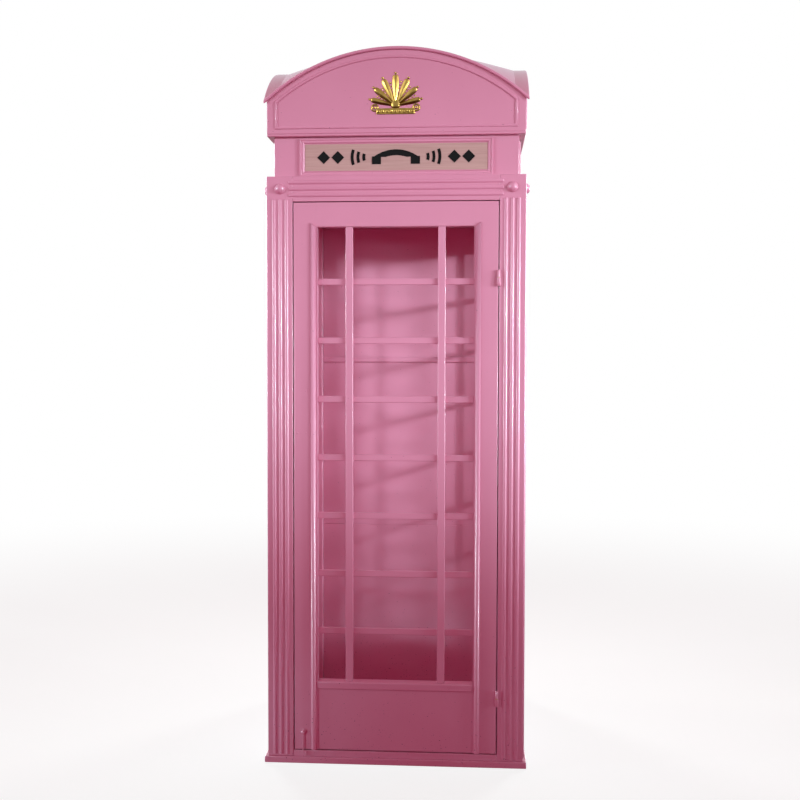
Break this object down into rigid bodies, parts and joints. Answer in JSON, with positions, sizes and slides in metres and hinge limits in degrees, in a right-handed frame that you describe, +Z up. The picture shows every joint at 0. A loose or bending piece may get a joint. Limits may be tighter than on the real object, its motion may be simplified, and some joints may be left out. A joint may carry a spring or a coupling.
{
  "type": "telephone booth",
  "caption": "Decorative square telephone booth with reeded corner posts, a hinged door with open glazing bars, a hook latch, a sign head and a domed roof.",
  "frame": {"origin": "centre of the plinth's footprint, on the ground", "axes": "+Z up, the door faces -Y, +X towards the door's hinge side"},
  "size_m": [0.8278, 0.8278, 2.2619],
  "materials": {
    "pink_paint": "satin",
    "sign_face": "matt, faintly streaked",
    "sign_ink": "matt",
    "gilt": "bright gilt",
    "pin_steel": "plain",
    "washer_brass": "plain"
  },
  "bodies": {
    "booth": {"plinth": "pink_paint", "floor_plate": "pink_paint", "door_sill": "pink_paint", "base_rails": "pink_paint", "corner_posts": "pink_paint", "ball_bosses": "pink_paint", "header_rails": "pink_paint", "ceiling_panel": "pink_paint", "side_stiles": "pink_paint", "side_top_rails": "pink_paint", "side_bead_rails": "pink_paint", "side_kick_panels": "pink_paint", "side_bottom_rails": "pink_paint", "side_uprights": "pink_paint", "side_cross_bars": "pink_paint", "back_lower_panel": "pink_paint", "back_middle_panel": "pink_paint", "back_upper_panel": "pink_paint", "back_batten": "pink_paint", "door_side_stops": "pink_paint", "door_top_stop": "pink_paint", "sign_boards": "pink_paint", "sign_side_boards": "pink_paint", "sign_frames": "pink_paint", "sign_plates": "sign_face", "sign_marks": "sign_ink", "roof_soffit": "pink_paint", "arched_fronts": "pink_paint", "arched_sides": "pink_paint", "front_trims": "pink_paint", "roof_edges": "pink_paint", "roof_side_edges": "pink_paint", "roof_dome": "pink_paint", "gilt_emblems": "gilt", "plinth_screws": "pink_paint", "hinge_lower_knuckles": "pink_paint", "hinge_pins": "pin_steel", "hinge_washers": "washer_brass", "latch_sill_eye": "pink_paint"},
    "door": {"door_hinge_stile": "pink_paint", "door_latch_stile": "pink_paint", "door_top_rail": "pink_paint", "door_kick_panel": "pink_paint", "door_bottom_rail": "pink_paint", "door_bead_rail": "pink_paint", "door_uprights": "pink_paint", "door_cross_bars": "pink_paint", "stile_screws": "pink_paint", "hinge_upper_knuckles": "pink_paint", "latch_pivot": "pink_paint"},
    "hook": {"latch_hook": "pink_paint"}
  },
  "joints": [
    {"name": "door_hinge", "type": "hinge", "parent": "booth", "child": "door", "pos_m": [0.3175, -0.406, 0.217], "axis": [0, 0, 1], "range_deg": [0, 150]},
    {"name": "latch_hook_swing", "type": "hinge", "parent": "door", "child": "hook", "pos_m": [-0.288, -0.40625, 0.098], "axis": [0, -1, 0], "range_deg": [-100, 5]}
  ]
}
